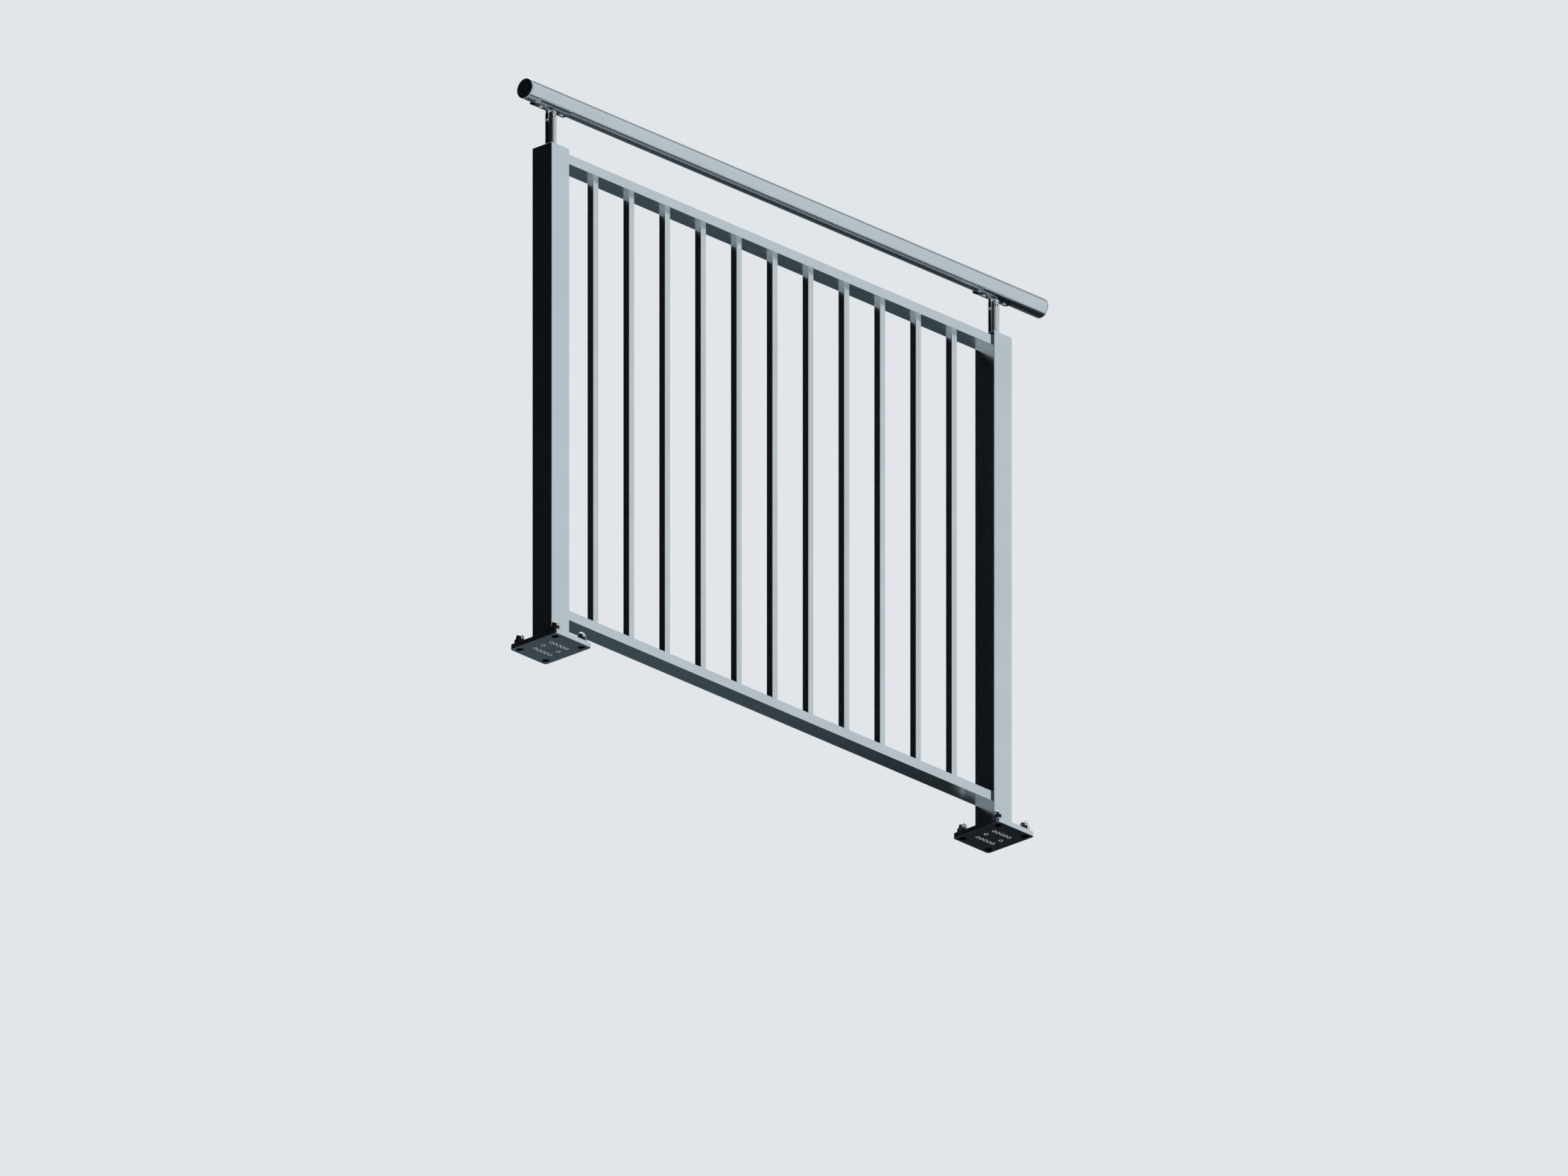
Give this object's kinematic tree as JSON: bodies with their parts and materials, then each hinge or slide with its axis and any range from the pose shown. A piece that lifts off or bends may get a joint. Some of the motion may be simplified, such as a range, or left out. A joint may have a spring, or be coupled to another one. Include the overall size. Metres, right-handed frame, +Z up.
{
  "type": "vertical baluster balustrade",
  "caption": "Guard panel of square balusters between two square posts on anchored base plates, with a round handrail carried above on slender stems.",
  "frame": {"origin": "middle of the left base plate's underside, between its four anchor holes", "axes": "+X along the panel from the left post to the right post, +Z up, the side with the hinge bolts' heads towards -Y"},
  "size_m": [1.4405, 0.12, 1.154],
  "materials": {
    "satin_aluminium": "satin",
    "stainless_steel": "brushed"
  },
  "bodies": {
    "root": {"left_base_plate": "satin_aluminium", "right_base_plate": "satin_aluminium", "left_post": "satin_aluminium", "right_post": "satin_aluminium", "left_post_cap": "satin_aluminium", "right_post_cap": "satin_aluminium", "top_rail": "satin_aluminium", "bottom_rail": "satin_aluminium", "top_rail_strip_01": "satin_aluminium", "top_rail_strip_02": "satin_aluminium", "top_rail_strip_03": "satin_aluminium", "top_rail_strip_04": "satin_aluminium", "top_rail_strip_05": "satin_aluminium", "top_rail_strip_06": "satin_aluminium", "top_rail_strip_07": "satin_aluminium", "top_rail_strip_08": "satin_aluminium", "top_rail_strip_09": "satin_aluminium", "top_rail_strip_10": "satin_aluminium", "top_rail_strip_11": "satin_aluminium", "top_rail_strip_12": "satin_aluminium", "bottom_rail_strip": "satin_aluminium", "baluster_01": "satin_aluminium", "baluster_02": "satin_aluminium", "baluster_03": "satin_aluminium", "baluster_04": "satin_aluminium", "baluster_05": "satin_aluminium", "baluster_06": "satin_aluminium", "baluster_07": "satin_aluminium", "baluster_08": "satin_aluminium", "baluster_09": "satin_aluminium", "baluster_10": "satin_aluminium", "baluster_11": "satin_aluminium", "handrail_tube": "satin_aluminium", "left_handrail_end_cap": "satin_aluminium", "right_handrail_end_cap": "satin_aluminium", "left_top_rail_spigot": "satin_aluminium", "left_bottom_rail_spigot": "satin_aluminium", "right_top_rail_spigot": "satin_aluminium", "right_bottom_rail_spigot": "satin_aluminium", "base_screws": "stainless_steel", "anchor_nuts": "stainless_steel", "hinge_bolts": "stainless_steel", "saddle_screws": "stainless_steel", "left_fork_stem": "stainless_steel", "right_fork_stem": "stainless_steel", "left_saddle": "stainless_steel", "right_saddle": "stainless_steel"}
  },
  "joints": []
}
